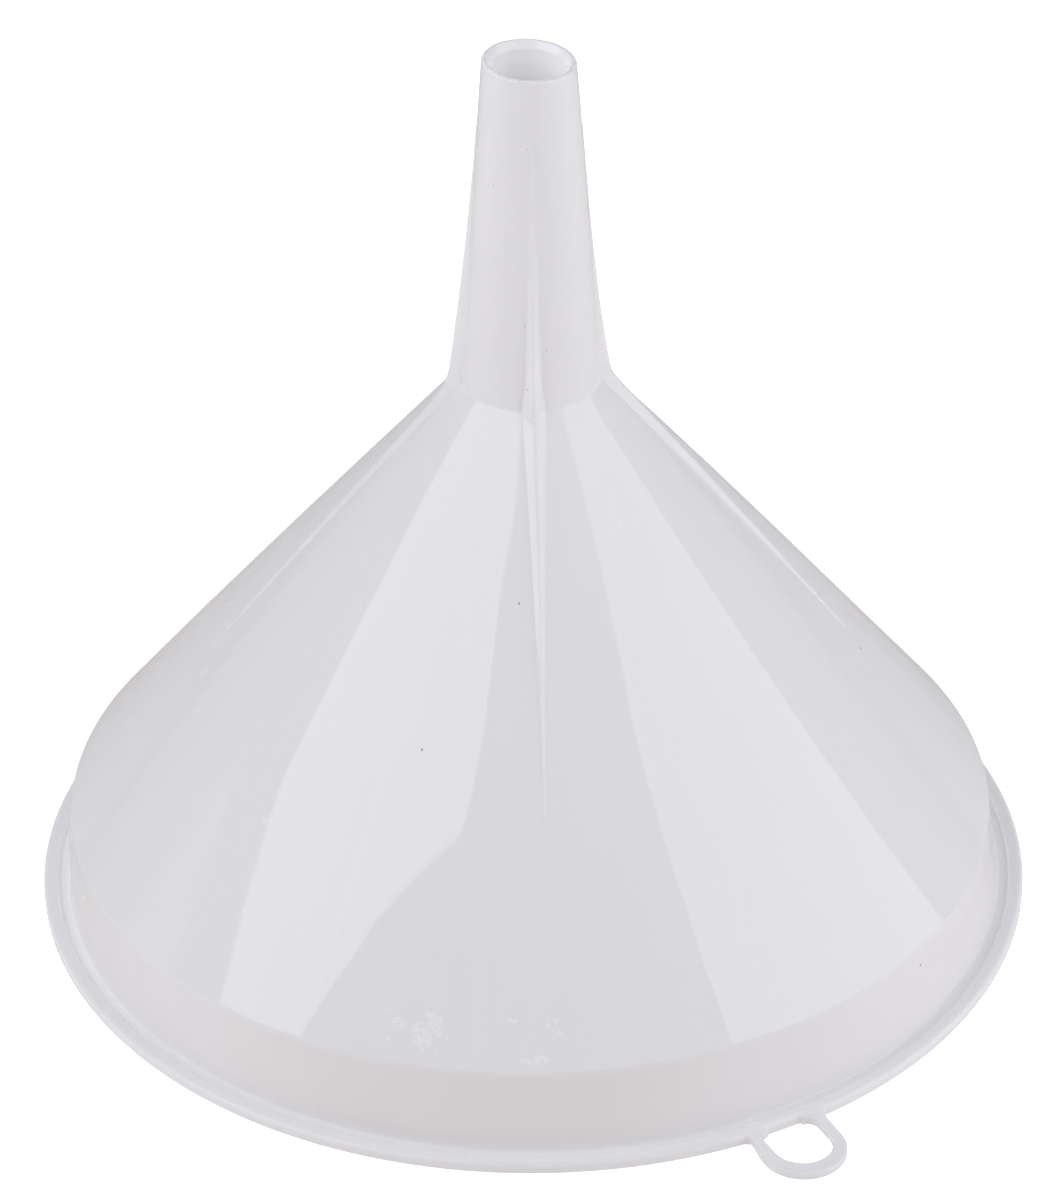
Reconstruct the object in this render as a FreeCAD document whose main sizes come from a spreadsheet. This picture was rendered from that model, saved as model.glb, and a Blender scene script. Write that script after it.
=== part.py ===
import FreeCAD, Part
import math
import os
import re

import Sketcher

# A one-piece injection-moulded kitchen and workshop funnel, standing on its mouth with the spout up.
# The moulding is divided where a toolmaker would name its features: spout, cone, collar, rim flange,
# rim bead, hanging eye and four stiffening ribs. Neighbours meet face to face.
# Frame: origin on the funnel's axis in the plane of the mouth, +Z along the axis towards the spout,
# front rib on -Y. Millimetres and degrees.

SIZES = {
    # Rim: a flat flange closed by a raised bead, with a shallow channel between bead and collar.
    "rim_radius": 125.0,
    "bead_width": 3.6,
    "bead_height": 2.8,
    "bead_round": 1.2,
    "flange_thickness": 1.6,
    # Collar: the short, nearly upright band between flange and cone.
    "collar_foot_radius": 118.6,
    "collar_foot_wall": 1.9,
    "collar_top_radius": 116.3,
    "collar_top": 23.8,
    # Cone: its wall is measured level, which is 1.9 square to the slope.
    "cone_wall": 2.45,
    "neck_radius": 17.2,
    "neck_height": 145.8,
    # Spout: tapers to a tip that was trimmed slightly out of square, its high side on -X.
    "tip_radius": 11.2,
    "tip_wall": 1.9,
    "tip_height": 231.9,
    "tip_trim": 1.2,
    # Ribs: thin fins whose ridge runs from the spout down on to the cone.
    "rib_spacing": 90.0,
    "rib_head_height": 214.0,
    "rib_head_ridge": 12.75,
    "rib_head_root": 11.4,
    "rib_head_crest": 0.6,
    "rib_head_base": 0.9,
    "rib_neck_height": 147.5,
    "rib_neck_ridge": 19.9,
    "rib_neck_root": 16.0,
    "rib_neck_crest": 0.8,
    "rib_neck_base": 2.05,
    "rib_shoulder_height": 140.0,
    "rib_shoulder_ridge": 25.5,
    "rib_shoulder_root": 20.5,
    "rib_shoulder_crest": 0.8,
    "rib_shoulder_base": 3.4,
    "rib_foot_height": 70.0,
    "rib_foot_ridge": 79.0,
    "rib_foot_root": 77.0,
    "rib_foot_crest": 0.25,
    "rib_foot_base": 0.5,
    # Hanging eye: a flat loop on the rim, round at its outer end, with a D-shaped hole.
    "eye_azimuth": 26.4,
    "eye_thickness": 2.0,
    "eye_half_width": 10.8,
    "eye_reach": 132.5,
    "eye_end_reach": 133.4,
    "eye_root": 120.0,
    "hole_half_width": 7.0,
    "hole_near_side": 124.6,
    "hole_corner": 1.5,
}

RIB_STATIONS = ("head", "neck", "shoulder", "foot")
RIB_TURNS = {"rib_front": 0, "rib_right": 1, "rib_back": 2, "rib_left": 3}
OVERRUN = 5.0  # how far the ribs' seat is cut past their feet
SAME_EDGE = 1e-4


def make_sheet(doc):
    """Writes the driving dimensions into a spreadsheet, one alias per row."""
    sheet = doc.addObject("Spreadsheet::Sheet", "Sizes")
    for row, (alias, value) in enumerate(SIZES.items(), start=1):
        sheet.set(f"A{row}", alias)
        sheet.set(f"B{row}", str(value))
        sheet.setAlias(f"B{row}", alias)
    doc.recompute()
    return sheet


def bound(formula):
    """A formula in the sheet's aliases, as an expression that other objects can use."""
    return re.sub(r"[a-z]\w*", r"Sizes.\g<0>", formula)


def new_body(doc, label):
    body = doc.addObject("PartDesign::Body", label)
    body.Label = label
    return body


def new_sketch(body, name, plane, lift=None):
    """A sketch on one of its body's own origin planes, raised by a formula if one is given."""
    sketch = body.newObject("Sketcher::SketchObject", f"{body.Name}_{name}")
    support = next(f for f in body.Origin.OriginFeatures if f.Role == plane)
    sketch.AttachmentSupport = (support, [""])
    sketch.MapMode = "FlatFace"
    if lift:
        sketch.setExpression("AttachmentOffset.Base.z", bound(lift))
    return sketch


def place(sketch, geometry, point, name, x, y):
    """Ties a point to x and y formulas from the sketch's origin; a leading minus means the far side."""
    for kind, axis, formula in (("DistanceX", "x", x), ("DistanceY", "y", y)):
        if formula == "0":
            line = -2 if axis == "x" else -1
            sketch.addConstraint(Sketcher.Constraint("PointOnObject", geometry, point, line))
            continue
        ends = (-1, 1, geometry, point)
        if formula.startswith("-"):
            ends = (geometry, point, -1, 1)
            formula = formula[1:]
        index = sketch.addConstraint(Sketcher.Constraint(kind, *ends, 1.0))
        sketch.renameConstraint(index, f"{name}_{axis}")
        sketch.setExpression(f"Constraints.{name}_{axis}", bound(formula))


def corner_sketch(body, name, plane, corners, lift=None):
    """A closed outline of straight lines whose corners are pairs of formulas."""
    sketch = new_sketch(body, name, plane, lift)
    count = len(corners)
    around = [
        FreeCAD.Vector(math.cos(2 * math.pi * i / count), math.sin(2 * math.pi * i / count), 0)
        for i in range(count)
    ]
    for i in range(count):
        sketch.addGeometry(Part.LineSegment(around[i], around[(i + 1) % count]), False)
    for i in range(count):
        sketch.addConstraint(Sketcher.Constraint("Coincident", i, 2, (i + 1) % count, 1))
    for i, (x, y) in enumerate(corners):
        place(sketch, i, 1, f"corner{i}", x, y)
    return sketch


def circle_sketch(body, name, radius, x, y):
    """A circle on the mouth's plane, with formulas for its radius and centre."""
    sketch = new_sketch(body, name, "XY_Plane")
    centre = FreeCAD.Vector(0, 0, 0)
    sketch.addGeometry(Part.Circle(centre, FreeCAD.Vector(0, 0, 1), 1.0), False)
    index = sketch.addConstraint(Sketcher.Constraint("Radius", 0, 1.0))
    sketch.renameConstraint(index, "radius")
    sketch.setExpression("Constraints.radius", bound(radius))
    place(sketch, 0, 3, "centre", x, y)
    return sketch


def feature(body, kind, name, profile):
    made = body.newObject(f"PartDesign::{kind}", f"{body.Name}_{name}")
    made.Profile = profile
    return made


def turned(body, kind, name, corners):
    """A Revolution or Groove of an outline given as (radius, height) formulas, once round the axis."""
    sketch = corner_sketch(body, f"{name}_outline", "XZ_Plane", corners)
    made = feature(body, kind, name, sketch)
    made.ReferenceAxis = (sketch, ["V_Axis"])
    made.Angle = 360.0
    return made


def padded(body, name, sketch, thickness):
    made = feature(body, "Pad", name, sketch)
    made.setExpression("Length", bound(thickness))
    return made


def pocketed(body, name, sketch):
    """Cuts the sketch right through the body, to both sides of its plane."""
    made = feature(body, "Pocket", name, sketch)
    made.Type = "ThroughAll"
    made.Midplane = True
    return made


def rounded(body, name, base, edges, radius):
    made = body.newObject("PartDesign::Fillet", f"{body.Name}_{name}")
    made.Base = (base, edges)
    made.setExpression("Radius", bound(radius))
    return made


def circles_at(shape, height):
    """Names of the circular edges that lie level at a height."""
    return [
        f"Edge{i}"
        for i, edge in enumerate(shape.Edges, start=1)
        if isinstance(edge.Curve, Part.Circle)
        and abs(edge.BoundBox.ZMin - height) < SAME_EDGE
        and abs(edge.BoundBox.ZMax - height) < SAME_EDGE
    ]


def uprights_at(shape, x, y):
    """Names of the straight upright edges that pass through (x, y)."""
    found = []
    for i, edge in enumerate(shape.Edges, start=1):
        box = edge.BoundBox
        thin = max(box.XLength, box.YLength) < SAME_EDGE
        if thin and math.hypot(box.XMin - x, box.YMin - y) < SAME_EDGE:
            found.append(f"Edge{i}")
    return found


def must_cut(before, after, what):
    """Stops if a cutting feature pointed away from the solid and removed nothing."""
    if after.Shape.Volume >= before.Shape.Volume - SAME_EDGE:
        raise RuntimeError(f"{what} cut nothing")


def make_rim_flange(doc):
    inner = "collar_foot_radius - collar_foot_wall"
    outer = "rim_radius - bead_width"
    body = new_body(doc, "rim_flange")
    ring = [(inner, "0"), (outer, "0"), (outer, "flange_thickness"), (inner, "flange_thickness")]
    turned(body, "Revolution", "ring", ring)
    return body


def make_rim_bead(doc):
    inner = "rim_radius - bead_width"
    body = new_body(doc, "rim_bead")
    ring = [(inner, "0"), ("rim_radius", "0"), ("rim_radius", "bead_height"), (inner, "bead_height")]
    base = turned(body, "Revolution", "ring", ring)
    doc.recompute()
    crests = circles_at(base.Shape, SIZES["bead_height"])
    rounded(body, "crest", base, crests, "bead_round")
    return body


def make_collar(doc):
    body = new_body(doc, "collar")
    band = [
        ("collar_foot_radius - collar_foot_wall", "flange_thickness"),
        ("collar_foot_radius", "flange_thickness"),
        ("collar_top_radius", "collar_top"),
        ("collar_top_radius - cone_wall", "collar_top"),
    ]
    turned(body, "Revolution", "band", band)
    return body


def make_cone(doc):
    body = new_body(doc, "cone")
    wall = [
        ("collar_top_radius - cone_wall", "collar_top"),
        ("collar_top_radius", "collar_top"),
        ("neck_radius", "neck_height"),
        ("neck_radius - cone_wall", "neck_height"),
    ]
    turned(body, "Revolution", "wall", wall)
    return body


def make_spout(doc):
    body = new_body(doc, "spout")
    wall = [
        ("neck_radius - cone_wall", "neck_height"),
        ("neck_radius", "neck_height"),
        ("tip_radius", "tip_height"),
        ("tip_radius - tip_wall", "tip_height"),
    ]
    tube = turned(body, "Revolution", "tube", wall)
    # The cut slopes from the tip's full height on -X down by tip_trim on +X, twice as wide as the tip.
    above = [
        ("-2 * tip_radius", "tip_height + tip_trim / 2"),
        ("2 * tip_radius", "tip_height - tip_trim * 3 / 2"),
        ("2 * tip_radius", "tip_height + tip_radius"),
        ("-2 * tip_radius", "tip_height + tip_radius"),
    ]
    trim = pocketed(body, "trim", corner_sketch(body, "trim_outline", "XZ_Plane", above))
    doc.recompute()
    must_cut(tube, trim, "the tip's trim")
    return body


def make_rib(doc, label, turns):
    """A fin lofted through level sections, then cut back to the outside of spout and cone."""
    body = new_body(doc, label)
    sections = []
    for station in RIB_STATIONS:
        ridge, root = f"rib_{station}_ridge", f"rib_{station}_root"
        crest, base = f"rib_{station}_crest", f"rib_{station}_base"
        corners = [
            (f"-{crest}", f"-{ridge}"),
            (crest, f"-{ridge}"),
            (base, f"-{root}"),
            (f"-{base}", f"-{root}"),
        ]
        sections.append(corner_sketch(body, station, "XY_Plane", corners, f"rib_{station}_height"))
    fin = feature(body, "AdditiveLoft", "fin", sections[0])
    fin.Sections = sections[1:]
    fin.Ruled = True
    wall_slope = "(collar_top_radius - neck_radius) / (neck_height - collar_top)"
    low = f"(rib_foot_height - {OVERRUN})"
    inside = [
        ("0", low),
        (f"neck_radius + (neck_height - {low}) * {wall_slope}", low),
        ("neck_radius", "neck_height"),
        ("tip_radius", "tip_height"),
        ("0", "tip_height"),
    ]
    seat = turned(body, "Groove", "seat", inside)
    body.setExpression("Placement.Rotation.Angle", f"{bound('rib_spacing')} * {turns} * 1 deg")
    doc.recompute()
    must_cut(fin, seat, f"the seat of {label}")
    return body


def make_hanging_eye(doc):
    """Built towards -Y, then swung round the axis to its place on the rim.

    The ring is thickest at its outer end, where the loop carries the funnel.
    """
    body = new_body(doc, "hanging_eye")
    half, hole = "eye_half_width", "hole_half_width"
    far, root = "-eye_end_reach", "-eye_root"
    tab = [(f"-{half}", far), (half, far), (half, root), (f"-{half}", root)]
    padded(body, "tab", corner_sketch(body, "tab_outline", "XY_Plane", tab), "eye_thickness")
    end = circle_sketch(body, "end_outline", half, "0", far)
    blank = padded(body, "end", end, "eye_thickness")
    near = "-hole_near_side"
    slot = [(f"-{hole}", "-eye_reach"), (hole, "-eye_reach"), (hole, near), (f"-{hole}", near)]
    pocketed(body, "slot", corner_sketch(body, "slot_outline", "XY_Plane", slot))
    opened = pocketed(body, "hole", circle_sketch(body, "hole_outline", hole, "0", "-eye_reach"))
    doc.recompute()
    must_cut(blank, opened, "the eye's hole")
    corners = []
    for side in (-1, 1):
        corners += uprights_at(opened.Shape, side * SIZES["hole_half_width"], -SIZES["hole_near_side"])
    eased = rounded(body, "corners", opened, corners, "hole_corner")
    seat = pocketed(body, "seat", circle_sketch(body, "seat_outline", "rim_radius", "0", "0"))
    body.setExpression("Placement.Rotation.Angle", f"{bound('eye_azimuth')} * 1 deg")
    doc.recompute()
    must_cut(eased, seat, "the eye's seat on the rim")
    return body


def check(doc, bodies):
    """Stops on any failed object, and on any sub-part that isn't one valid solid."""
    for item in doc.Objects:
        if {"Invalid", "Error"} & set(item.State):
            raise RuntimeError(f"{item.Label} is {item.State}")
    for body in bodies:
        shape = body.Shape
        if shape.isNull() or not shape.isValid() or len(shape.Solids) != 1:
            raise RuntimeError(f"{body.Label} has no single valid solid")


def export(bodies):
    os.makedirs("parts", exist_ok=True)
    for body in bodies:
        body.Shape.exportStep(f"parts/{body.Label}.step")
        box = body.Shape.BoundBox
        print(
            f"{body.Label:12s} {body.Shape.Volume / 1000:8.2f} cm3"
            f"  x {box.XMin:.2f}..{box.XMax:.2f}  y {box.YMin:.2f}..{box.YMax:.2f}"
            f"  z {box.ZMin:.2f}..{box.ZMax:.2f}"
        )


def main():
    doc = FreeCAD.newDocument("funnel")
    make_sheet(doc)
    makers = (make_spout, make_cone, make_collar, make_rim_flange, make_rim_bead, make_hanging_eye)
    bodies = [make(doc) for make in makers]
    bodies += [make_rib(doc, label, turns) for label, turns in RIB_TURNS.items()]
    doc.recompute()
    check(doc, bodies)
    export(bodies)


main()
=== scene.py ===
import math

import bmesh
import bpy
from mathutils import Matrix, Vector, noise


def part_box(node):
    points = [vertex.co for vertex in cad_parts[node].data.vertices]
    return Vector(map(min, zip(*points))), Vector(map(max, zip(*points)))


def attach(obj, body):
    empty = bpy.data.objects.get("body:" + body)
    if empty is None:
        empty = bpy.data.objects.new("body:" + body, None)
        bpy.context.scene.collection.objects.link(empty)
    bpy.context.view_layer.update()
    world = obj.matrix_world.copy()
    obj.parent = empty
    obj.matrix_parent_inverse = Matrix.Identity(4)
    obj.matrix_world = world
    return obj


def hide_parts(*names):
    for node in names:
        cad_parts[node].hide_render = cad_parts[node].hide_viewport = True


# The looks of a plain moulded funnel that stands on its mouth: one mesh piece for each CAD node,
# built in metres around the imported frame. Neighbouring pieces meet on straight runs of one shared
# outline, so the moulding reads as continuous.

MM = 0.001
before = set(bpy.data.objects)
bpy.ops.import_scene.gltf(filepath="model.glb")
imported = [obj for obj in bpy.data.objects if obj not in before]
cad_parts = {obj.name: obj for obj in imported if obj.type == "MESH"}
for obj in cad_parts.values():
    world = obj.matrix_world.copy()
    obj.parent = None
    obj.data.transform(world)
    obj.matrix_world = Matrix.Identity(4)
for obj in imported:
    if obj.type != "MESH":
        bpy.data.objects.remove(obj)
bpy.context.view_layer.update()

# Places known to the frame.
RIM_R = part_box("rim_bead")[1].x
BEAD_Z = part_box("rim_bead")[1].z
BEAD_IN_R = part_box("rim_flange")[1].x
FLANGE_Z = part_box("rim_flange")[1].z
FOOT_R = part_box("collar")[1].x
CORNER_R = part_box("cone")[1].x
CORNER_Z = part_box("cone")[0].z
NECK_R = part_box("spout")[1].x
NECK_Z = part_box("spout")[0].z
TIP_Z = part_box("spout")[1].z
EYE_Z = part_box("hanging_eye")[1].z

# Walls and tip, which the boxes don't tell.
MOUTH_R = 116.7 * MM
CONE_IN_R = 113.85 * MM
NECK_IN_R = 14.75 * MM
TIP_R = 11.2 * MM
TIP_LAND = 1.1 * MM
TIP_FLARE = 1.9 * MM
TIP_BORE = 9.0 * MM
TIP_SLOPE = 1.2 * MM

# How the moulding departs from a true turned shape: the cone's bow between collar and neck, and at
# the cone's foot a lean off the axis and a sag at its two sides, which fade further up.
CONE_BOW = 0.68 * MM
CORNER_DROP = 0.3 * MM
LEAN = 0.75 * MM
SAG = 0.6 * MM
LEAN_FULL_Z = 15 * MM
LEAN_FADE_Z = 40 * MM
LEAN_FADE = 90 * MM

# Shallow dents all over the wall, broad and fine: how deep they are, how fast they change round the
# axis and with height, and the radius under which they fade, so that narrow pieces have less of them.
BROAD_DENT = 0.20 * MM
BROAD_WAVES = (1.7, 9)
FINE_DENT = 0.045 * MM
FINE_WAVES = (5, 26)
DENTED_R = 30 * MM

# The tip is trimmed by hand: how far down the wall gives way to the cut, how deep and how fine the
# ragged edge is, the share of that reach that it takes, and how far from the sides it stops.
TRIM_REACH = 12 * MM
BURR = 0.22 * MM
BURR_WAVES = 900
BURR_REACH = 0.2
BURR_SIDE = 0.2

# The bead between the arms of the hanging eye.
THINNING = 0.8 * MM
THINNING_BLEND = 2.5 * MM

# Roundings and how finely the round pieces are cut.
NECK_FILLET = 1.1 * MM
NECK_BLEND = 0.2 * NECK_FILLET
CORNER_FILLET = 0.8 * MM
FOOT_FILLET = 0.9 * MM
BEAD_ROUND = 1.2 * MM
BEAD_ROUND_IN = 0.55 * MM
BEAD_FILLET = 0.5 * MM
BEAD_FOOT_ROUND = 0.25 * MM
MOUTH_ROUND = 0.3 * MM
TIP_ROUND = 0.8 * MM
TIP_ROUND_IN = 0.3 * MM
FLARE_ROUND = 1.0 * MM
SEGMENTS = 288
STEP = 1.6 * MM
NEAR_STEP = 0.3 * MM
ARC_STEP = math.radians(9)
SEAM = 4.0 * MM
SHARP_ROUND = math.radians(35)
SHARP_CUT = math.radians(50)

# The light that comes through the milky wall: into the bore, out at the torn edge of the tip, up
# through the rim with more of it in the channel, and the light that the ribs' thicker plastic scatters.
BORE_GLOW = 0.13
EDGE_GLOW = 0.07
RIM_GLOW = 0.06
CHANNEL_GLOW = 0.035
RIB_GLOW = 0.045


def slot_piece(ob, material, nodes):
    """Finishes a piece: its material, the body it rides on and the CAD nodes it stands for, which it
    hides.
    """
    ob.data.materials.append(material)
    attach(ob, "root")
    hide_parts(*nodes)
    return ob


# ---------------------------------------------------------------- outlines

def along(a, b, share):
    """The point that lies a share of the way from a to b."""
    return (a[0] + (b[0] - a[0]) * share, a[1] + (b[1] - a[1]) * share)


def point_on(a, b, distance):
    """The point on the line from a to b, at a distance from a."""
    return along(a, b, distance / math.dist(a, b))


def run(a, b, fine_start, fine_end):
    """Points from a up to b, not counting b, with extra ones near an end that meets an arc."""
    length = math.dist(a, b)
    marks = [0.0]
    roomy = length > 4 * NEAR_STEP
    first = NEAR_STEP if fine_start and roomy else 0.0
    last = length - NEAR_STEP if fine_end and roomy else length
    if first:
        marks.append(first)
    count = max(1, math.ceil((last - first) / STEP))
    marks += [first + (last - first) * i / count for i in range(1, count)]
    if last < length:
        marks.append(last)
    return [point_on(a, b, m) if m else a for m in marks]


def outline(corners):
    """The points of a closed (radius, height) outline, from corners (radius, height, rounding)."""
    count = len(corners)
    ends = []
    for i, (r, z, rounding) in enumerate(corners):
        before, after = corners[i - 1][:2], corners[(i + 1) % count][:2]
        here = (r, z)
        if rounding == 0:
            ends.append((here, here, []))
            continue
        a = Vector(before) - Vector(here)
        b = Vector(after) - Vector(here)
        half = a.angle(b) / 2
        reach = rounding / math.tan(half)
        start = point_on(here, before, reach)
        end = point_on(here, after, reach)
        middle = Vector(here) + (a.normalized() + b.normalized()).normalized() * rounding / math.sin(half)
        spoke = Vector(start) - middle
        turn = spoke.angle_signed(Vector(end) - middle)
        steps = max(2, math.ceil(abs(turn) / ARC_STEP))
        arc = []
        for k in range(steps + 1):
            spun = spoke.copy()
            spun.rotate(Matrix.Rotation(-turn * k / steps, 2))
            arc.append(tuple(middle + spun))
        ends.append((start, end, arc))
    points = []
    for i, (start, end, arc) in enumerate(ends):
        points += arc[:-1]
        following = ends[(i + 1) % count]
        points += run(end, following[0], bool(arc), bool(following[2]))
    return points


# ---------------------------------------------------------------- the moulding's own unevenness

def smooth(share):
    """Eases from 0 to 1 as share goes from 0 to 1."""
    share = min(1.0, max(0.0, share))
    return share * share * (3 - 2 * share)


def wobble(p, waves, start):
    """Noise from -1 to 1 that changes round the axis and with height, from a start of its own."""
    r = math.hypot(p.x, p.y)
    round_axis, up_axis = waves
    place = Vector((p.x / r * round_axis, p.y / r * round_axis, p.z * up_axis))
    return noise.noise(place + Vector(start))


def warp(p):
    """A moulded wall is never quite true: moves a point a little, the same way for every piece there."""
    r = math.hypot(p.x, p.y)
    broad = wobble(p, BROAD_WAVES, (3.1, 0, 0))
    fine = wobble(p, FINE_WAVES, (0, 7.7, 0))
    depth = (0.55 + 0.45 * broad) * BROAD_DENT + (0.5 + 0.5 * fine) * FINE_DENT
    depth *= min(1.0, r / DENTED_R)
    height = min(1.0, max(0.0, (p.z - CORNER_Z) / (NECK_Z - CORNER_Z)))
    scale = (r - depth + CONE_BOW * 4 * height * (1 - height)) / r
    strength = smooth(p.z / LEAN_FULL_Z) * (1 - smooth((p.z - LEAN_FADE_Z) / LEAN_FADE))
    sag = SAG * (p.x / r) ** 2 * strength
    return Vector((p.x * scale - LEAN * strength, p.y * scale, p.z - sag))


def trim_tip(p):
    """The spout's end is cut a little askew, and its edge is left ragged on one side."""
    low = TIP_Z - TRIM_REACH
    if p.z <= low:
        return p
    share = (p.z - low) / (TIP_Z - low)
    r = math.hypot(p.x, p.y)
    side = 0.5 * (1 + p.x / r)
    drop = TIP_SLOPE * side * share
    burr = 0.5 + 0.5 * noise.noise(Vector((p.x, p.y, 0)) * BURR_WAVES)
    near_edge = smooth((share - (1 - BURR_REACH)) / BURR_REACH)
    torn = max(0.0, -p.y / r - BURR_SIDE) * burr * near_edge * BURR
    return Vector((p.x, p.y, p.z - drop - torn))


def ease_bead(p):
    """The bead is a little thinner between the arms of the hanging eye."""
    spun = Matrix.Rotation(math.pi / 2 - EYE_TURN, 3, "Z") @ p
    if spun.x <= 0:
        return p
    between = smooth((HOLE_R - abs(spun.y)) / THINNING_BLEND)
    strength = between * smooth((spun.x - BEAD_SEAM) / (RIM_R - BEAD_SEAM))
    scale = 1 - THINNING * strength / RIM_R
    return Vector((p.x * scale, p.y * scale, p.z))


def to_piece(bm, name, sharp):
    """A finished object from a bmesh, smooth but for edges that turn by more than an angle."""
    mesh = bpy.data.meshes.new(name)
    bmesh.ops.recalc_face_normals(bm, faces=bm.faces)
    bm.to_mesh(mesh)
    bm.free()
    mesh.shade_smooth()
    mesh.set_sharp_from_angle(angle=sharp)
    ob = bpy.data.objects.new(name, mesh)
    bpy.context.scene.collection.objects.link(ob)
    return ob


def lathe(name, corners, reshape=None):
    """A closed ring-shaped piece: an outline turned about the Z axis."""
    bm = bmesh.new()
    profile = outline(corners)
    rings = []
    for r, z in profile:
        ring = []
        for i in range(SEGMENTS):
            angle = 2 * math.pi * i / SEGMENTS
            p = warp(Vector((r * math.cos(angle), r * math.sin(angle), z)))
            ring.append(bm.verts.new(reshape(p) if reshape else p))
        rings.append(ring)
    for k, ring in enumerate(rings):
        after = rings[(k + 1) % len(rings)]
        for i in range(SEGMENTS):
            j = (i + 1) % SEGMENTS
            bm.faces.new((ring[i], ring[j], after[j], after[i]))
    return to_piece(bm, name, SHARP_ROUND)


# The outer line of the moulding, and the seams that lie on its straight runs.
TIP = (TIP_R, TIP_Z)
NECK = (NECK_R, NECK_Z)
CORNER = (CORNER_R, CORNER_Z - CORNER_DROP)
FOOT = (FOOT_R, FLANGE_Z)
SPOUT_SEAM = point_on(NECK, TIP, SEAM)
COLLAR_SEAM = point_on(CORNER, FOOT, SEAM)
FLANGE_SEAM = FOOT_R + 1.3 * MM
BEAD_SEAM = BEAD_IN_R - 0.9 * MM
NECK_BORE = (NECK_IN_R, NECK_Z)
TIP_INSIDE = (TIP_R - TIP_LAND, TIP_Z)
FLARE = (TIP_BORE, TIP_Z - TIP_FLARE)
SPOUT_SEAM_IN = along(NECK_BORE, FLARE, (SPOUT_SEAM[1] - NECK_Z) / (FLARE[1] - NECK_Z))
CONE_INSIDE = (CONE_IN_R, CORNER[1])
MOUTH = (MOUTH_R, 0)
COLLAR_SEAM_IN = along(CONE_INSIDE, MOUTH, (CORNER[1] - COLLAR_SEAM[1]) / CORNER[1])
WALL_SLOPE = (NECK_R - TIP_R) / (TIP_Z - NECK_Z)


def make_spout():
    corners = [
        (*SPOUT_SEAM, 0),
        (*TIP, TIP_ROUND),
        (*TIP_INSIDE, TIP_ROUND_IN),
        (*FLARE, FLARE_ROUND),
        (*SPOUT_SEAM_IN, 0),
    ]
    return lathe("spout_tube", corners, trim_tip)


def make_cone():
    corners = [
        (*COLLAR_SEAM, 0),
        (*CORNER, CORNER_FILLET),
        (*NECK, NECK_FILLET),
        (*SPOUT_SEAM, 0),
        (*SPOUT_SEAM_IN, 0),
        (*NECK_BORE, NECK_FILLET),
        (*CONE_INSIDE, CORNER_FILLET),
        (*COLLAR_SEAM_IN, 0),
    ]
    return lathe("cone_wall", corners)


def make_collar():
    corners = [
        (FLANGE_SEAM, 0, 0),
        (FLANGE_SEAM, FLANGE_Z, 0),
        (*FOOT, FOOT_FILLET),
        (*COLLAR_SEAM, 0),
        (*COLLAR_SEAM_IN, 0),
        (*MOUTH, MOUTH_ROUND),
    ]
    return lathe("collar_band", corners)


def make_flange():
    corners = [
        (FLANGE_SEAM, 0, 0),
        (BEAD_SEAM, 0, 0),
        (BEAD_SEAM, FLANGE_Z, 0),
        (FLANGE_SEAM, FLANGE_Z, 0),
    ]
    return lathe("rim_channel", corners)


def make_bead():
    corners = [
        (BEAD_SEAM, 0, 0),
        (RIM_R, 0, BEAD_FOOT_ROUND),
        (RIM_R, BEAD_Z, BEAD_ROUND),
        (BEAD_IN_R, BEAD_Z, BEAD_ROUND_IN),
        (BEAD_IN_R, FLANGE_Z, BEAD_FILLET),
        (BEAD_SEAM, FLANGE_Z, 0),
    ]
    return lathe("rim_edge_bead", corners, ease_bead)


# ---------------------------------------------------------------- ribs

def soft_max(a, b, blend):
    """The larger of two lengths, with the change-over rounded."""
    near = max(0.0, blend - abs(a - b))
    return max(a, b) + near * near / (4 * blend)


def line_at(z, a, b):
    """The radius at a height on the straight line through two (radius, height) points."""
    return a[0] + (z - a[1]) * (b[0] - a[0]) / (b[1] - a[1])


def outer_radius(z):
    """The moulding's outside radius at a height on spout or cone, with the neck's rounding."""
    return soft_max(line_at(z, NECK, TIP), line_at(z, NECK, CORNER), NECK_BLEND)


# A rib's ends and the height where it is full on the spout, how finely it is cut, how deep its root
# sits in the wall, and its shape: half its width at the neck on the cone, the share of that which is
# left at its foot, how it narrows between them, and the share of its half width that a flank takes.
RIB_HEAD = 214 * MM
RIB_FOOT = 70 * MM
RIB_NECK = 148 * MM
RIB_ENDS = 0.18 * MM
RIB_STEP = 1.0 * MM
RIB_COLUMNS = 24
RIB_ROOT_DEPTH = 0.8 * MM
RIB_EDGE_SINK = 0.02 * MM
RIB_CONE_HALF_WIDTH = 2.9 * MM
RIB_FOOT_SHARE = 0.13
RIB_NARROWING = 1.5
RIB_FLANK = 0.84
RIB_CHANGE_Z = NECK_Z - 1 * MM
RIB_CHANGE = 8 * MM

# Each rib's node, turn in degrees, height in mm at the neck on the spout and on the cone, how hollow
# its crest runs up the spout, the rounding of the crest at the neck, and half its width at its root
# there on the spout.
RIBS = [
    ("rib_right", 0, 2.3, 2.55, 3.2, 1.2, 4.4),
    ("rib_back", 90, 2.6, 2.3, 2.4, 1.4, 3.6),
    ("rib_left", 180, 2.8, 1.6, 1.7, 3.0, 4.6),
    ("rib_front", 270, 2.1, 1.6, 3.0, 1.2, 2.7),
]
HEAD_HALF_WIDTH = 0.5 * MM


def ridge_radius(z, spout_height, cone_height, hollow, corner):
    """How far a rib's crest stands from the axis at a height, from its heights at the neck."""
    rise = max(0.0, (RIB_HEAD - z) / (RIB_HEAD - RIB_NECK)) ** hollow
    on_spout = line_at(z, NECK, TIP) + RIB_ENDS + (spout_height - RIB_ENDS) * rise
    fall = (z - RIB_FOOT) / (NECK_Z - RIB_FOOT)
    on_cone = line_at(z, NECK, CORNER) + RIB_ENDS + (cone_height - RIB_ENDS) * fall
    return soft_max(on_spout, on_cone, corner)


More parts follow.
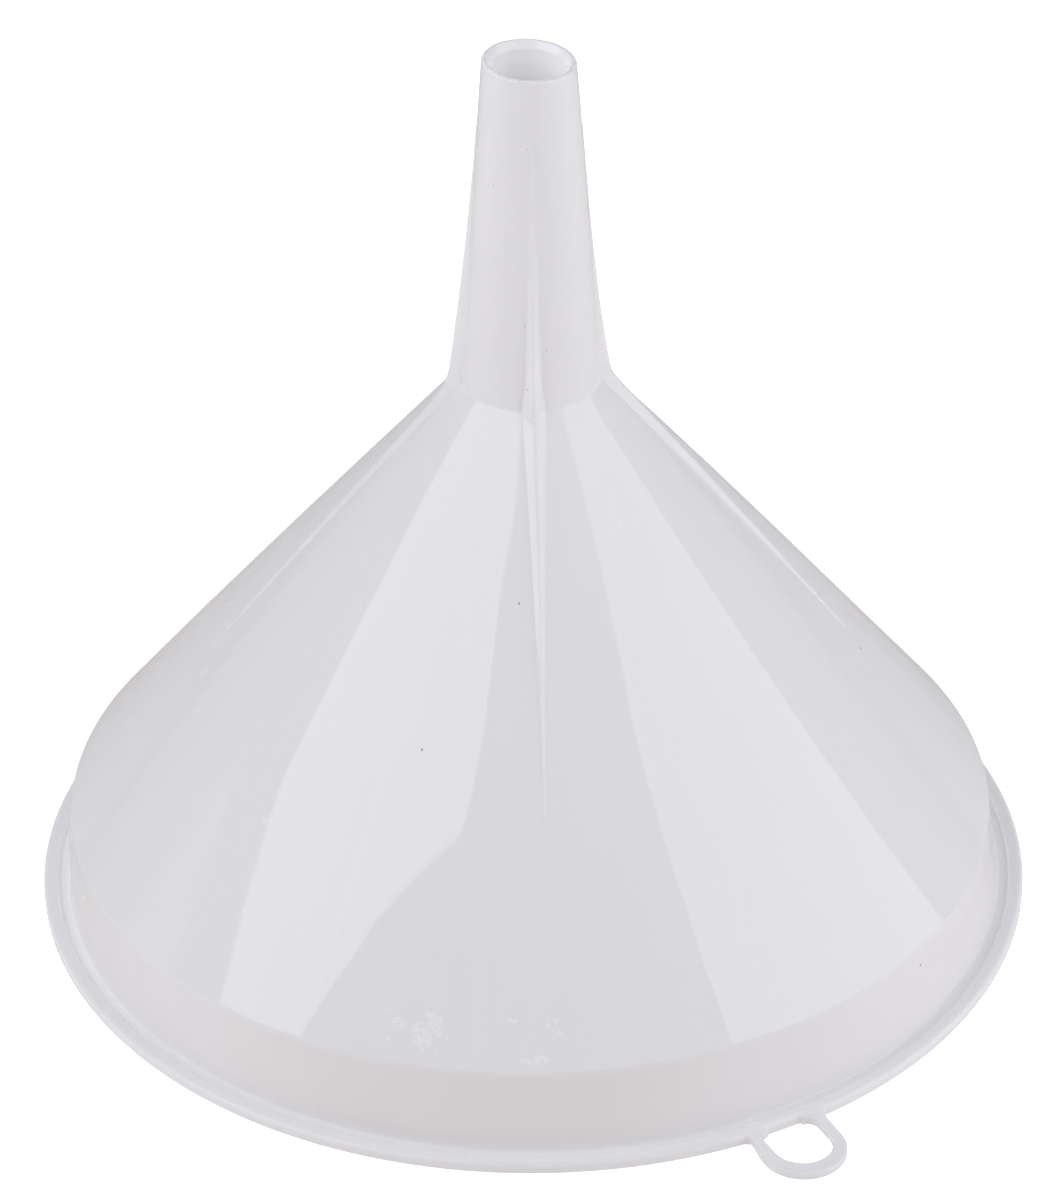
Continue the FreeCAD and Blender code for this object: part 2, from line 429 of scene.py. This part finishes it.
def rib_half_width(z, root):
    """Half of a rib's width at a height; root is its half width at the neck, on the spout."""
    up = min(1.0, max(0.0, (z - NECK_Z) / (RIB_HEAD - NECK_Z)))
    down = min(1.0, max(0.0, (NECK_Z - z) / (NECK_Z - RIB_FOOT)))
    on_spout = root + (HEAD_HALF_WIDTH - root) * up
    left = RIB_FOOT_SHARE + (1 - RIB_FOOT_SHARE) * (1 - down) ** RIB_NARROWING
    on_cone = RIB_CONE_HALF_WIDTH * left
    return on_cone + (on_spout - on_cone) * on_spout_share(z)


def on_spout_share(z):
    """How far a rib has changed from its crisp shape on the cone to its soft one on the spout."""
    return smooth((z - RIB_CHANGE_Z) / RIB_CHANGE)


def rib_rise(across, spout_share):
    """A rib's section: its height as a share, at a share of the way from its middle to its side."""
    crisp = min(1.0, (1 - abs(across)) / RIB_FLANK)
    soft = (1 - across * across) ** 3
    return crisp + (soft - crisp) * spout_share


def make_rib(node, turn, heights, hollow, corner, root):
    """A rib that runs from the spout over the neck and down the cone, faired into the wall beside it."""
    low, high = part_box(node)[0].z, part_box(node)[1].z
    count = math.ceil((high - low) / RIB_STEP)
    bm = bmesh.new()
    spin = Matrix.Rotation(turn, 3, "Z")
    top, bottom = [], []
    for k in range(count + 1):
        z = low + (high - low) * k / count
        r = outer_radius(z)
        height = max(0.0, ridge_radius(z, *heights, hollow, corner) - r)
        half = rib_half_width(z, root)
        spout_share = on_spout_share(z)
        top_row, bottom_row = [], []
        for j in range(RIB_COLUMNS + 1):
            t = 2 * j / RIB_COLUMNS - 1
            y = t * half
            wall = math.sqrt(r * r - y * y)
            flank = rib_rise(t, spout_share)
            lift = height * flank - RIB_EDGE_SINK * (1 - flank)
            for row, x in ((top_row, wall + lift), (bottom_row, wall - RIB_ROOT_DEPTH)):
                row.append(bm.verts.new(warp(spin @ Vector((x, y, z)))))
        top.append(top_row)
        bottom.append(bottom_row)
    for k in range(count):
        for j in range(RIB_COLUMNS):
            bm.faces.new((top[k][j], top[k][j + 1], top[k + 1][j + 1], top[k + 1][j]))
            bm.faces.new((bottom[k][j], bottom[k + 1][j], bottom[k + 1][j + 1], bottom[k][j + 1]))
        for j in (0, RIB_COLUMNS):
            bm.faces.new((top[k][j], top[k + 1][j], bottom[k + 1][j], bottom[k][j]))
    for k in (0, count):
        for j in range(RIB_COLUMNS):
            bm.faces.new((top[k][j], top[k][j + 1], bottom[k][j + 1], bottom[k][j]))
    return to_piece(bm, node + "_web", SHARP_CUT)


# ---------------------------------------------------------------- hanging eye

# The eye is built along +X and then turned: EYE_TURN goes from the front rib towards the right one.
# Its hole and the round end of its loop, the arms' roots on each side, and how they meet the bead.
EYE_TURN = math.radians(26.4)
HOLE_CENTRE = 132.5 * MM
HOLE_R = 7.3 * MM
LOOP_CENTRE = 133.45 * MM
LOOP_SIDE = -0.4 * MM
LOOP_R = 10.55 * MM
LOOP_ROOTS = {-1: 9.7 * MM, 1: 10.5 * MM}
LOOP_START = RIM_R - 1.6 * MM
ROOT_TOP = BEAD_Z - 0.25 * MM
ROOT_FILLET_OUT = 1.1 * MM
ROOT_FILLET_IN = 2.6 * MM
LOOP_BLEND = 3.0 * MM
LOOP_SINK = 1.0 * MM
LOOP_EDGE = 0.25 * MM
LOOP_ROUND = 0.55 * MM
ARM_STEPS = 30
ARM_CROWDING = 1.6
BEND_STEPS = 64
EDGE_STEPS = 6


def fillet(beyond, radius):
    """How far a wall bends aside near the rim, to meet it in a quarter round."""
    near = max(0.0, radius - max(0.0, beyond))
    return radius - math.sqrt(radius * radius - near * near)


def arm_station(side, share):
    """The loop's inner and outer edge on one of its arms; share runs from the rim to the bend."""
    inner_x = LOOP_START + (HOLE_CENTRE - LOOP_START) * share
    outer_x = LOOP_START + (LOOP_CENTRE - LOOP_START) * share
    inner_y = HOLE_R
    outer_y = LOOP_ROOTS[side] + (LOOP_R + side * LOOP_SIDE - LOOP_ROOTS[side]) * smooth(share)
    inner_y -= fillet(math.hypot(inner_x, inner_y) - RIM_R, ROOT_FILLET_IN)
    outer_y += fillet(math.hypot(outer_x, outer_y) - RIM_R, ROOT_FILLET_OUT)
    return Vector((inner_x, side * inner_y)), Vector((outer_x, side * outer_y))


def bend_station(angle):
    """The loop's inner and outer edge on its round outer end."""
    out = Vector((math.cos(angle), math.sin(angle)))
    return Vector((HOLE_CENTRE, 0)) + out * HOLE_R, Vector((LOOP_CENTRE, LOOP_SIDE)) + out * LOOP_R


def quarter(x, z, radius, start):
    """Points of a quarter circle about (x, z), anticlockwise from a start angle in degrees."""
    turns = [math.radians(start + 90 * k / EDGE_STEPS) for k in range(EDGE_STEPS + 1)]
    return [(x + radius * math.cos(t), z + radius * math.sin(t)) for t in turns]


def loop_section(width, top):
    """The loop's section as (distance from its inner edge, height): flat, with softer upper edges."""
    points = quarter(width - LOOP_EDGE, LOOP_EDGE, LOOP_EDGE, -90)
    points += quarter(width - LOOP_ROUND, top - LOOP_ROUND, LOOP_ROUND, 0)
    points += quarter(LOOP_ROUND, top - LOOP_ROUND, LOOP_ROUND, 90)
    return points + quarter(LOOP_EDGE, LOOP_EDGE, LOOP_EDGE, 180)


def make_eye():
    """A flat loop whose two arms flare at the rim and sink into the bead that they grow out of."""
    shares = [(k / ARM_STEPS) ** ARM_CROWDING for k in range(ARM_STEPS)]
    stations = [arm_station(-1, share) for share in shares]
    stations += [bend_station(math.pi * (k / BEND_STEPS - 0.5)) for k in range(BEND_STEPS + 1)]
    stations += [arm_station(1, share) for share in reversed(shares)]
    spin = Matrix.Rotation(EYE_TURN - math.pi / 2, 3, "Z")
    bm = bmesh.new()
    rows = []
    for inner, outer in stations:
        across = (outer - inner).normalized()
        beyond = ((inner + outer) / 2).length - RIM_R
        top = ROOT_TOP + (EYE_Z - ROOT_TOP) * smooth((beyond + LOOP_SINK) / LOOP_BLEND)
        row = []
        for reach, height in loop_section((outer - inner).length, top):
            spot = inner + across * reach
            row.append(bm.verts.new(spin @ Vector((spot.x, spot.y, height))))
        rows.append(row)
    size = len(rows[0])
    for near, far in zip(rows, rows[1:]):
        for j in range(size):
            m = (j + 1) % size
            bm.faces.new((near[j], near[m], far[m], far[j]))
    bm.faces.new(rows[0])
    bm.faces.new(list(reversed(rows[-1])))
    return to_piece(bm, "hanging_loop", SHARP_CUT)


# ---------------------------------------------------------------- material

# The plastic's white where it is thinner and thicker, the collar's painted shade (a darker, warmer
# white), and the marks' colours.
THIN_MILK = (0.925, 0.905, 0.905, 1)
THICK_MILK = (0.95, 0.93, 0.93, 1)
SHADED_COLLAR_MILK = (0.915, 0.87, 0.85, 1)
DIRT = (0.16, 0.14, 0.13, 1)
SCUFF_AND_GLINT_WHITE = (1.0, 0.98, 1.0, 1)
THROUGH_LIGHT = (0.97, 0.975, 1.035, 1)

# How much streaks, clouds and veins whiten the plastic; veins show where their noise is high.
STREAK_WHITE = 0.5
CLOUD_WHITE = 0.3
VEIN_WHITE = 1.6
VEIN_GAIN = 5.0
VEIN_START = 2.9
STREAK_STRETCH = 1.2

# Specks: cells per metre of the unrolled skin, a speck's size in its cell, and how few cells have one.
SKIN_R = 80 * MM
SPECK_CELLS = 38.0
SPECK_SIZE = 0.011
SPECK_RARITY = 0.82
SPECK_DARKNESS = 0.75

# Bands on the object, each with a low end, a high end and a soft width: heights and sideways reaches.
COLLAR_SHADE_BAND = (4.5 * MM, 21.5 * MM, 1.5 * MM)
COLLAR_SHADE_REACH = (-52 * MM, 12 * MM, 30 * MM)
SCUFF_BAND = (25 * MM, 33 * MM, 3 * MM)
SCUFF_REACH = (-38 * MM, 12 * MM, 8 * MM)
# Painted highlight, partly wear: the thin band at the neck whose crumbs are whitened.
NECK_WEAR_AND_GLINT_BAND = (NECK_Z - 0.7 * MM, NECK_Z - 0.3 * MM, 0.5 * MM)
# Painted shade: how much darker and warmer the whole collar band is coloured, and how much more on its
# front.
COLLAR_SHADE_STRENGTH = 0.15
COLLAR_FRONT_SHADE = 0.68

# Scuffs, and the thin line at the neck that is partly crumbly wear and partly a painted highlight: from
# which noise level on patches, fibres and crumbs show, and how strongly.
PATCH_START = 0.55
SCUFF_CHANCE = 0.5
FIBRE_GAIN = 2.2
FIBRE_START = 0.45
CRUMB_AND_GLINT_START = 0.52
NECK_WEAR_AND_GLINT = 0.4
SCUFF_AND_GLINT_SHARE = 0.65

# Hairlines: how their noise is turned and stretched, the width of a line in it, and from which level
# of a second noise on they show.
HAIR_TURN = (0.5, 0.3, 0.9)
HAIR_STRETCH = (1.0, 5.0, 1.0)
HAIR_WIDTH = 0.0016
HAIR_START = 0.63

# How the plastic refracts, its roughness where it is plain, and what dulls it further.
PLASTIC_IOR = 1.5
SATIN = 0.012
CLOUD_DULL = 0.015
STREAK_DULL = 0.015
HAIR_DULL = 0.25
SCUFF_DULL = 0.4

# Relief: the share of each in the height, and the whole's strength and depth.
PEEL_RISE = 0.008
STREAK_RISE = 0.25
SCUFF_RISE = 0.08
HAIR_GROOVE = 0.05
RELIEF = 0.6
RELIEF_DEPTH = 0.1 * MM

# Where light comes through: bands below the tip, up the rim and beside the middle of a rib.
BORE_BAND = (5 * MM, 18 * MM, 6 * MM)
TORN_BAND = (-2 * MM, 0.35 * MM, 0.25 * MM)
TORN_START = 0.46
WALL_SOFT = 0.6 * MM
RIM_BAND = (-1 * MM, BEAD_Z, 0.5 * MM)
CHANNEL_BAND = (FOOT_R, BEAD_IN_R, 0.6 * MM)
WEB_BAND = (0.0, 0.4 * MM, 1.6 * MM)
WEB_NECK_FADE = 8 * MM
WEB_HEAD_FADE = 60 * MM


class Sheet:
    """A material's nodes, with short ways to write them and the places that all its parts ask for."""

    def __init__(self, material):
        material.use_nodes = True
        self.nodes = material.node_tree.nodes
        self.links = material.node_tree.links
        self.nodes.clear()
        self.place = self.node("ShaderNodeTexCoord").outputs["Object"]
        split = self.node("ShaderNodeSeparateXYZ", {0: self.place})
        self.x, self.y, self.z = split.outputs
        self.x_squared = self.calc("POWER", self.x, 2.0)
        self.radius = self.calc("SQRT", self.plus(self.x_squared, self.calc("POWER", self.y, 2.0)))
        self.angle = self.calc("ARCTAN2", self.y, self.x)
        self.front = self.calc("LESS_THAN", self.y, 0.0)

    def feed(self, socket, value):
        """Gives a socket a constant or a link."""
        if isinstance(value, bpy.types.NodeSocket):
            self.links.new(value, socket)
        else:
            socket.default_value = value

    def node(self, kind, inputs=None, **settings):
        """A node with its settings first, as they decide which inputs it has, and then its inputs."""
        made = self.nodes.new(kind)
        for key, value in settings.items():
            setattr(made, key, value)
        for key, value in (inputs or {}).items():
            self.feed(made.inputs[key], value)
        return made

    def calc(self, operation, *values, clamp=False):
        made = self.node("ShaderNodeMath", dict(enumerate(values)), operation=operation, use_clamp=clamp)
        return made.outputs[0]

    def plus(self, a, b, clamp=False):
        return self.calc("ADD", a, b, clamp=clamp)

    def minus(self, a, b, clamp=False):
        return self.calc("SUBTRACT", a, b, clamp=clamp)

    def times(self, first, *others):
        product = first
        for other in others:
            product = self.calc("MULTIPLY", product, other)
        return product

    def window(self, value, low, high, soft):
        """1 while a value lies between two bounds and 0 outside, with soft edges."""
        rise = self.calc("DIVIDE", self.minus(value, low - soft), soft, clamp=True)
        fall = self.calc("DIVIDE", self.minus(high + soft, value), soft, clamp=True)
        return self.times(rise, fall)

    def noise(self, vector, scale, detail=2.0, rough=0.5):
        inputs = {"Vector": vector, "Scale": scale, "Detail": detail, "Roughness": rough}
        return self.node("ShaderNodeTexNoise", inputs).outputs["Fac"]

    def above(self, value, level):
        return self.calc("GREATER_THAN", value, level)

    def mix(self, share, under, over):
        """One colour over another."""
        inputs = {"Factor": share, "A": under, "B": over}
        return self.node("ShaderNodeMix", inputs, data_type="RGBA").outputs["Result"]

    def round_axis(self, height):
        """The direction from the axis, with a height of its own as the third coordinate."""
        inputs = {"X": self.calc("COSINE", self.angle), "Y": self.calc("SINE", self.angle), "Z": height}
        return self.node("ShaderNodeCombineXYZ", inputs).outputs[0]


def flow_streaks(sheet):
    """Streaks that follow the flow of the melt: they change round the axis, and slowly with height."""
    flow = sheet.round_axis(sheet.times(sheet.z, STREAK_STRETCH))
    return sheet.noise(flow, scale=14.0, detail=4.0, rough=0.6)


def milk(sheet, streaks, clouds):
    """A cool milky white that drifts a little with streaks and clouds, and has veins in the clouds."""
    upright = sheet.noise(sheet.round_axis(0.0), scale=26.0, detail=3.0, rough=0.7)
    veins = sheet.times(sheet.minus(sheet.times(upright, VEIN_GAIN), VEIN_START, clamp=True), clouds)
    drift = sheet.plus(sheet.times(streaks, STREAK_WHITE), sheet.times(clouds, CLOUD_WHITE))
    share = sheet.plus(drift, sheet.times(veins, VEIN_WHITE), clamp=True)
    return sheet.mix(share, THIN_MILK, THICK_MILK)


def specked(sheet, colour):
    """A few dark specks, spread on the unrolled outside."""
    unrolled = {"X": sheet.times(sheet.angle, SKIN_R), "Y": sheet.z}
    skin = sheet.node("ShaderNodeCombineXYZ", unrolled).outputs[0]
    inputs = {"Vector": skin, "Scale": SPECK_CELLS}
    cells = sheet.node("ShaderNodeTexVoronoi", inputs, voronoi_dimensions="2D")
    near = sheet.calc("LESS_THAN", cells.outputs["Distance"], SPECK_SIZE)
    draw = sheet.node("ShaderNodeSeparateColor", {0: cells.outputs["Color"]}).outputs[0]
    return sheet.mix(sheet.times(near, sheet.above(draw, SPECK_RARITY), SPECK_DARKNESS), colour, DIRT)


def collar_painted_shade(sheet, colour):
    """Painted shade: the collar band is coloured a little darker than the rest, and darker and warmer on
    its front, where less lamp light falls on it.
    """
    front_shade = sheet.times(sheet.window(sheet.x, *COLLAR_SHADE_REACH), sheet.front, COLLAR_FRONT_SHADE)
    share = sheet.times(sheet.window(sheet.z, *COLLAR_SHADE_BAND), sheet.plus(front_shade, COLLAR_SHADE_STRENGTH))
    return sheet.mix(share, colour, SHADED_COLLAR_MILK)


def make_scuffs_and_neck_glint(sheet):
    """Torn, whitish patches low on the cone's front, and a thin broken line of crumbs at the neck that is
    partly wear and partly a painted highlight where the lip at the neck catches the lamps.
    """
    patches = sheet.above(sheet.noise(sheet.place, scale=150.0, detail=4.0, rough=0.65), PATCH_START)
    threads = sheet.times(sheet.noise(sheet.place, scale=900.0), FIBRE_GAIN)
    fibres = sheet.minus(threads, FIBRE_START, clamp=True)
    band = sheet.times(sheet.window(sheet.z, *SCUFF_BAND), sheet.window(sheet.x, *SCUFF_REACH))
    band = sheet.times(band, sheet.front, sheet.noise(sheet.place, scale=60.0, detail=1.0))
    chance = sheet.above(band, SCUFF_CHANCE)
    crumbs = sheet.above(sheet.noise(sheet.place, scale=600.0), CRUMB_AND_GLINT_START)
    # Painted highlight: the neck's broken line is whitened partly as crumbly wear and partly as the glint
    # of its lip.
    neck_wear_and_glint = sheet.times(sheet.window(sheet.z, *NECK_WEAR_AND_GLINT_BAND), crumbs, NECK_WEAR_AND_GLINT)
    return sheet.calc("MAXIMUM", sheet.times(patches, chance, fibres), neck_wear_and_glint)


def make_hairlines(sheet):
    """Thin scratches: level lines of a stretched noise, broken up by a second one."""
    tilt = sheet.node("ShaderNodeMapping", {
        "Vector": sheet.place,
        "Rotation": HAIR_TURN,
        "Scale": HAIR_STRETCH,
    })
    lines = sheet.noise(tilt.outputs[0], scale=30.0, detail=1.0)
    thin = sheet.calc("LESS_THAN", sheet.calc("ABSOLUTE", sheet.minus(lines, 0.5)), HAIR_WIDTH)
    return sheet.times(thin, sheet.above(sheet.noise(sheet.place, scale=55.0, detail=1.0), HAIR_START))


def roughness(sheet, streaks, clouds, scuffs_and_glint, hair):
    """A satin gloss, duller in clouds, along streaks and on scratches."""
    dull = sheet.plus(sheet.times(clouds, CLOUD_DULL), sheet.times(streaks, STREAK_DULL))
    worn = sheet.plus(sheet.times(hair, HAIR_DULL), sheet.times(scuffs_and_glint, SCUFF_DULL))
    return sheet.plus(sheet.plus(dull, SATIN), worn, clamp=True)


def relief(sheet, streaks, scuffs_and_glint, hair):
    """Fine orange peel, flow lines, raised scuffs and the scratches' grooves."""
    peel = sheet.noise(sheet.place, scale=700.0)
    height = sheet.plus(sheet.times(peel, PEEL_RISE), sheet.times(streaks, STREAK_RISE))
    height = sheet.minus(height, sheet.times(hair, HAIR_GROOVE))
    height = sheet.plus(height, sheet.times(scuffs_and_glint, SCUFF_RISE))
    inputs = {"Height": height, "Strength": RELIEF, "Distance": RELIEF_DEPTH}
    return sheet.node("ShaderNodeBump", inputs).outputs[0]


def inside_bore(sheet, below_tip):
    """1 on the spout's inner face and 0 on its outer one, told apart at the middle of the wall."""
    middle = sheet.plus(sheet.times(below_tip, WALL_SLOPE), (TIP_BORE + TIP_R) / 2)
    inward = sheet.calc("DIVIDE", sheet.minus(middle, sheet.radius), WALL_SOFT)
    return sheet.plus(inward, 0.5, clamp=True)


def torn_edge(sheet, below_tip):
    """Broken bits of the trimmed end, which is cut askew."""
    askew = sheet.plus(sheet.times(sheet.x, 0.5 * TIP_SLOPE / TIP_R), 0.5 * TIP_SLOPE)
    torn = sheet.above(sheet.noise(sheet.place, scale=500.0, detail=3.0), TORN_START)
    return sheet.times(sheet.window(sheet.minus(below_tip, askew), *TORN_BAND), torn)


def rim_light(sheet):
    """The thin rim lets the floor's light through at its two sides, and its channel the most."""
    beside = sheet.calc("DIVIDE", sheet.x_squared, sheet.calc("POWER", sheet.radius, 2.0))
    rim = sheet.times(sheet.window(sheet.z, *RIM_BAND), beside, sheet.above(sheet.radius, FOOT_R))
    channel = sheet.times(sheet.window(sheet.radius, *CHANNEL_BAND), CHANNEL_GLOW)
    return sheet.times(rim, sheet.plus(channel, RIM_GLOW))


def rib_light(sheet):
    """The ribs on the spout are thicker than its wall, scatter more light and look a little lighter."""
    sideways = sheet.calc("MINIMUM", sheet.calc("ABSOLUTE", sheet.x), sheet.calc("ABSOLUTE", sheet.y))
    above_neck = sheet.calc("DIVIDE", sheet.minus(sheet.z, NECK_Z), WEB_NECK_FADE, clamp=True)
    below_head = sheet.calc("DIVIDE", sheet.minus(RIB_HEAD, sheet.z), WEB_HEAD_FADE, clamp=True)
    return sheet.times(sheet.window(sideways, *WEB_BAND), sheet.times(above_neck, below_head))


def light_through(sheet):
    """How strongly the milky wall passes light on: in the bore, at the torn edge, rim and ribs."""
    below_tip = sheet.minus(TIP_Z, sheet.z)
    inside = inside_bore(sheet, below_tip)
    outside = sheet.minus(1.0, inside)
    glow = sheet.times(sheet.window(below_tip, *BORE_BAND), inside, BORE_GLOW)
    glow = sheet.plus(glow, sheet.times(torn_edge(sheet, below_tip), outside, EDGE_GLOW))
    glow = sheet.plus(glow, rim_light(sheet))
    return sheet.plus(glow, sheet.times(rib_light(sheet), outside, RIB_GLOW))


def plastic():
    """Milky polyethylene: satin gloss, faint flow streaks, specks, scuffs, hairlines, a painted highlight
    at the neck, painted shade on the collar and a faint glow.
    """
    material = bpy.data.materials.new("milky_polyethylene")
    sheet = Sheet(material)
    streaks = flow_streaks(sheet)
    clouds = sheet.noise(sheet.place, scale=22.0, detail=3.0, rough=0.55)
    scuffs_and_glint = make_scuffs_and_neck_glint(sheet)
    hair = make_hairlines(sheet)
    # The collar band gets painted shade here.
    colour = collar_painted_shade(sheet, specked(sheet, milk(sheet, streaks, clouds)))
    shader = sheet.node("ShaderNodeBsdfPrincipled", {
        # The scuffs are real wear; the line at the neck that is whitened with them is partly a painted
        # highlight.
        "Base Color": sheet.mix(sheet.times(scuffs_and_glint, SCUFF_AND_GLINT_SHARE), colour, SCUFF_AND_GLINT_WHITE),
        "Roughness": roughness(sheet, streaks, clouds, scuffs_and_glint, hair),
        "Normal": relief(sheet, streaks, scuffs_and_glint, hair),
        "IOR": PLASTIC_IOR,
        "Emission Color": THROUGH_LIGHT,
        "Emission Strength": light_through(sheet),
    })
    sheet.node("ShaderNodeOutputMaterial", {"Surface": shader.outputs[0]})
    return material


# ---------------------------------------------------------------- studio

def direction(azimuth, elevation):
    """The unit vector towards an azimuth and elevation in degrees; azimuth 0 is the front."""
    a, e = math.radians(azimuth), math.radians(elevation)
    return Vector((math.sin(a) * math.cos(e), -math.cos(a) * math.cos(e), math.sin(e)))


CAMERA_AZIMUTH = -2.3
CAMERA_ELEVATION = 33.41
CAMERA_DISTANCE = 1.3556
CAMERA_ROLL = -0.33
CAMERA_LENS = 163.97
SENSOR_WIDTH = 36
NEAR_CLIP = 0.05
AIM_HEIGHT = 80.6 * MM
AIM_SIDE = -0.5 * MM


def make_camera():
    """A long lens that looks down on the object from the front, rolled a little."""
    data = bpy.data.cameras.new("camera")
    data.lens = CAMERA_LENS
    data.sensor_width = SENSOR_WIDTH
    data.clip_start = NEAR_CLIP
    camera = bpy.data.objects.new("camera", data)
    out = direction(CAMERA_AZIMUTH, CAMERA_ELEVATION)
    side = direction(CAMERA_AZIMUTH + 90, 0)
    up = out.cross(side)
    roll = math.radians(CAMERA_ROLL)
    right = side * math.cos(roll) + up * math.sin(roll)
    top = up * math.cos(roll) - side * math.sin(roll)
    place = Vector((0, 0, AIM_HEIGHT)) + side * AIM_SIDE + out * CAMERA_DISTANCE
    camera.matrix_world = Matrix.Translation(place) @ Matrix((right, top, out)).transposed().to_4x4()
    bpy.context.scene.collection.objects.link(camera)
    bpy.context.scene.camera = camera


LEFT_PANEL = [
    (-20, 62), (-18, 47), (-23, 44), (-23, 40), (-26.5, 36.8), (-46, 31),
    (-56, 25), (-68, 17), (-89, 21), (-97, 29), (-95, 60),
]
RIGHT_PANEL = [(100, 60), (99, 24), (103, -4), (52, -4), (44, 27), (41, 36), (51, 44), (54, 60)]
LOW_PANEL = [(-88, 14), (-88, -4), (-104, -4), (-104, 14)]
LOW_GLOW = 0.8
PANEL_DISTANCE = 1.0
PANEL_MIDDLE = 80 * MM
COOL = (0.98, 1.0, 1.05)
WARM = (1.055, 1.0, 0.965)
LEFT_GLOW = 2.15
RIGHT_GLOW = 1.65
FLOOR_HALF = 4.0
FLOOR_Z = -0.05 * MM
FLOOR_TONE = 0.81
FLOOR_ROUGH = 0.9
FLOOR_GLOW = 0.085
FLOOR_WHITE = 0.7
SKY = [(0.0, 0.54), (0.35, 0.45), (0.7, 0.39), (1.0, 0.0)]


def glowing(name, strength):
    """A plain, slightly cool light-giving material."""
    material = bpy.data.materials.new(name)
    material.use_nodes = True
    nodes = material.node_tree.nodes
    nodes.clear()
    glow = nodes.new("ShaderNodeEmission")
    glow.inputs["Color"].default_value = (*COOL, 1)
    glow.inputs["Strength"].default_value = strength
    output = nodes.new("ShaderNodeOutputMaterial")
    material.node_tree.links.new(glow.outputs[0], output.inputs[0])
    return material


def softbox(name, corners, strength):
    """A light panel whose corners lie in the given directions from the object's middle."""
    middle = Vector((0, 0, PANEL_MIDDLE))
    mesh = bpy.data.meshes.new(name)
    points = [middle + direction(a, e) * PANEL_DISTANCE for a, e in corners]
    centre = sum(points, Vector()) / len(points)
    count = len(points)
    mesh.from_pydata(points + [centre], [], [(i, (i + 1) % count, count) for i in range(count)])
    mesh.materials.append(glowing(name, strength))
    ob = bpy.data.objects.new(name, mesh)
    ob.visible_camera = False
    bpy.context.scene.collection.objects.link(ob)


def make_floor():
    """A pale sheet that the object stands on, bright enough to read as white."""
    mesh = bpy.data.meshes.new("floor")
    signs = ((-1, -1), (1, -1), (1, 1), (-1, 1))
    corners = [(x * FLOOR_HALF, y * FLOOR_HALF, FLOOR_Z) for x, y in signs]
    mesh.from_pydata(corners, [], [(0, 1, 2, 3)])
    material = bpy.data.materials.new("pale_floor")
    material.use_nodes = True
    shader = material.node_tree.nodes["Principled BSDF"]
    shader.inputs["Base Color"].default_value = (*(FLOOR_TONE * c for c in WARM), 1)
    shader.inputs["Roughness"].default_value = FLOOR_ROUGH
    shader.inputs["Emission Color"].default_value = (*WARM, 1)
    path = material.node_tree.nodes.new("ShaderNodeLightPath")
    gain = material.node_tree.nodes.new("ShaderNodeMath")
    gain.operation = "MULTIPLY_ADD"
    gain.inputs[1].default_value = FLOOR_WHITE
    gain.inputs[2].default_value = FLOOR_GLOW
    material.node_tree.links.new(path.outputs["Is Camera Ray"], gain.inputs[0])
    material.node_tree.links.new(gain.outputs[0], shader.inputs["Emission Strength"])
    mesh.materials.append(material)
    ob = bpy.data.objects.new("floor", mesh)
    bpy.context.scene.collection.objects.link(ob)


def make_sky():
    """Soft light from all round, brighter overhead than at the horizon."""
    world = bpy.data.worlds.new("studio")
    bpy.context.scene.world = world
    world.use_nodes = True
    nodes, links = world.node_tree.nodes, world.node_tree.links
    nodes.clear()
    place = nodes.new("ShaderNodeTexCoord")
    split = nodes.new("ShaderNodeSeparateXYZ")
    links.new(place.outputs["Generated"], split.inputs[0])
    ramp = nodes.new("ShaderNodeValToRGB")
    stops = ramp.color_ramp.elements
    while len(stops) < len(SKY):
        stops.new(0.5)
    for stop, (height, level) in zip(stops, SKY):
        stop.position = height
        stop.color = (*(level * c for c in COOL), 1)
    links.new(split.outputs["Z"], ramp.inputs[0])
    back = nodes.new("ShaderNodeBackground")
    links.new(ramp.outputs[0], back.inputs["Color"])
    path = nodes.new("ShaderNodeLightPath")
    plain = nodes.new("ShaderNodeBackground")
    plain.inputs["Color"].default_value = (1, 1, 1, 1)
    mix = nodes.new("ShaderNodeMixShader")
    links.new(path.outputs["Is Camera Ray"], mix.inputs[0])
    links.new(back.outputs[0], mix.inputs[1])
    links.new(plain.outputs[0], mix.inputs[2])
    output = nodes.new("ShaderNodeOutputWorld")
    links.new(mix.outputs[0], output.inputs[0])


def main():
    material = plastic()
    slot_piece(make_spout(), material, ["spout"])
    slot_piece(make_cone(), material, ["cone"])
    slot_piece(make_collar(), material, ["collar"])
    slot_piece(make_flange(), material, ["rim_flange"])
    slot_piece(make_bead(), material, ["rim_bead"])
    slot_piece(make_eye(), material, ["hanging_eye"])
    for node, turn, on_spout, on_cone, hollow, corner, root in RIBS:
        heights = (on_spout * MM, on_cone * MM)
        rib = make_rib(node, math.radians(turn), heights, hollow, corner * MM, root * MM)
        slot_piece(rib, material, [node])
    make_floor()
    make_sky()
    softbox("softbox_left", LEFT_PANEL, LEFT_GLOW)
    softbox("softbox_right", RIGHT_PANEL, RIGHT_GLOW)
    softbox("softbox_low", LOW_PANEL, LOW_GLOW)
    make_camera()
    bpy.context.scene.view_settings.view_transform = "Standard"


main()
